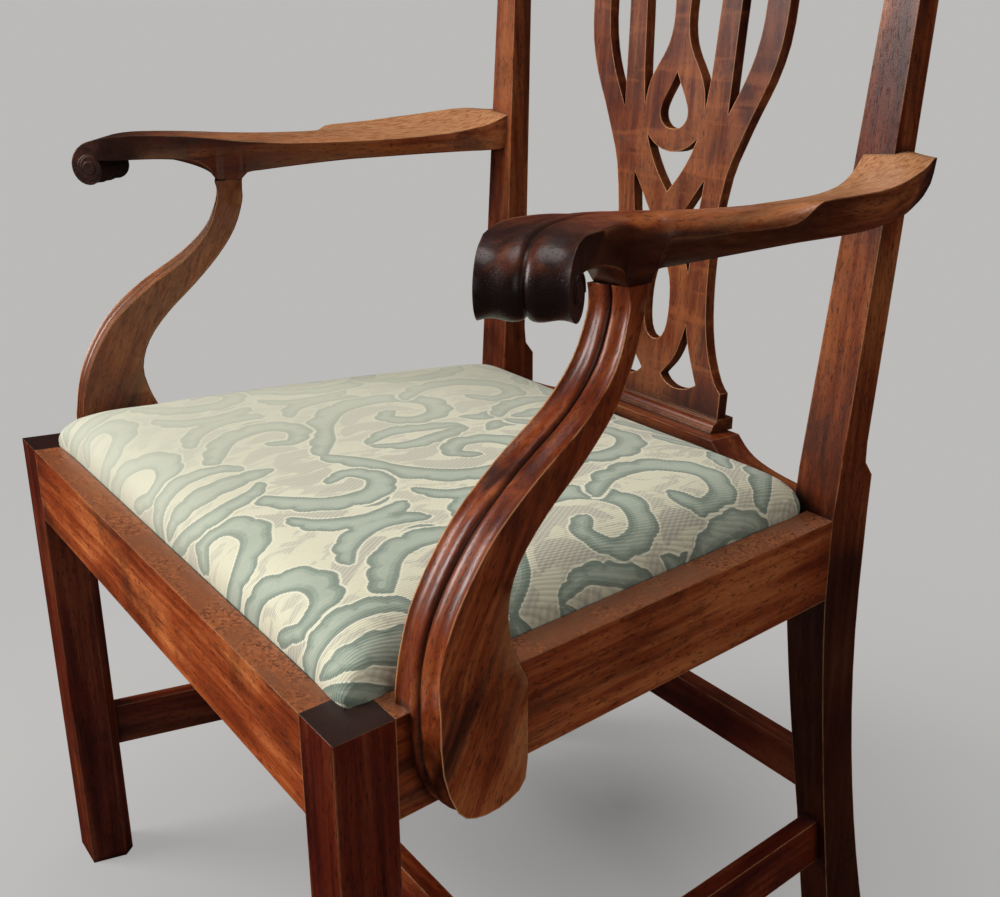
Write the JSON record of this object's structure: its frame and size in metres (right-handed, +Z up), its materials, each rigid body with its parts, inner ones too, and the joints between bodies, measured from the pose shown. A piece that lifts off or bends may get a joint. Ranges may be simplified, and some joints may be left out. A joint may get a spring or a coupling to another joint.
{
  "type": "open-arm dining chair",
  "caption": "Wooden open-arm dining chair with scrolled arms, reeded swept arm supports, pierced interlaced splat, square legs with stretchers and a lift-out padded seat.",
  "frame": {"origin": "centre of the bounding box in X and Y, on the floor under the feet", "axes": "+X to the right as seen from the front; +Y from the front legs to the back; +Z up"},
  "size_m": [0.6968, 0.531, 0.9518],
  "materials": {
    "mahogany": "waxed and worn, bright along the edges",
    "seat_frame_wood": "plain sawn, unpolished",
    "woven_cover": "ribbed weave with scrolling leaves in sage and cream",
    "webbing": "jute webbing",
    "hessian": "coarse hessian",
    "stuffing": "hair and wadding, stands in as one solid",
    "bottom_linen": "dark linen",
    "steel": "dull"
  },
  "bodies": {
    "chair_frame": {"front_leg_right": "mahogany", "front_leg_left": "mahogany", "back_post_right": "mahogany", "back_post_left": "mahogany", "front_rail": "mahogany", "side_rail_right": "mahogany", "side_rail_left": "mahogany", "back_rail": "mahogany", "splat_shoe": "mahogany", "splat": "mahogany", "crest_rail": "mahogany", "arm_right": "mahogany", "arm_left": "mahogany", "arm_support_right": "mahogany", "arm_support_left": "mahogany", "side_stretcher_right": "mahogany", "side_stretcher_left": "mahogany", "middle_stretcher": "mahogany", "back_stretcher": "mahogany", "arm_screw_plugs": "mahogany", "front_corner_block_right": "seat_frame_wood", "front_corner_block_left": "seat_frame_wood", "back_corner_block_right": "seat_frame_wood", "back_corner_block_left": "seat_frame_wood", "support_screws": "steel", "arm_screws": "steel"},
    "drop_in_seat": {"seat_frame_front": "seat_frame_wood", "seat_frame_back": "seat_frame_wood", "seat_frame_right": "seat_frame_wood", "seat_frame_left": "seat_frame_wood", "webbing_lengthwise": "webbing", "webbing_crosswise": "webbing", "seat_hessian": "hessian", "seat_stuffing": "stuffing", "seat_cover": "woven_cover", "seat_bottom_linen": "bottom_linen", "cover_tacks": "steel"}
  },
  "joints": [
    {"name": "seat_lift", "type": "slide", "parent": "chair_frame", "child": "drop_in_seat", "axis": [0, 0, 1], "range_m": [0, 0.15]}
  ]
}
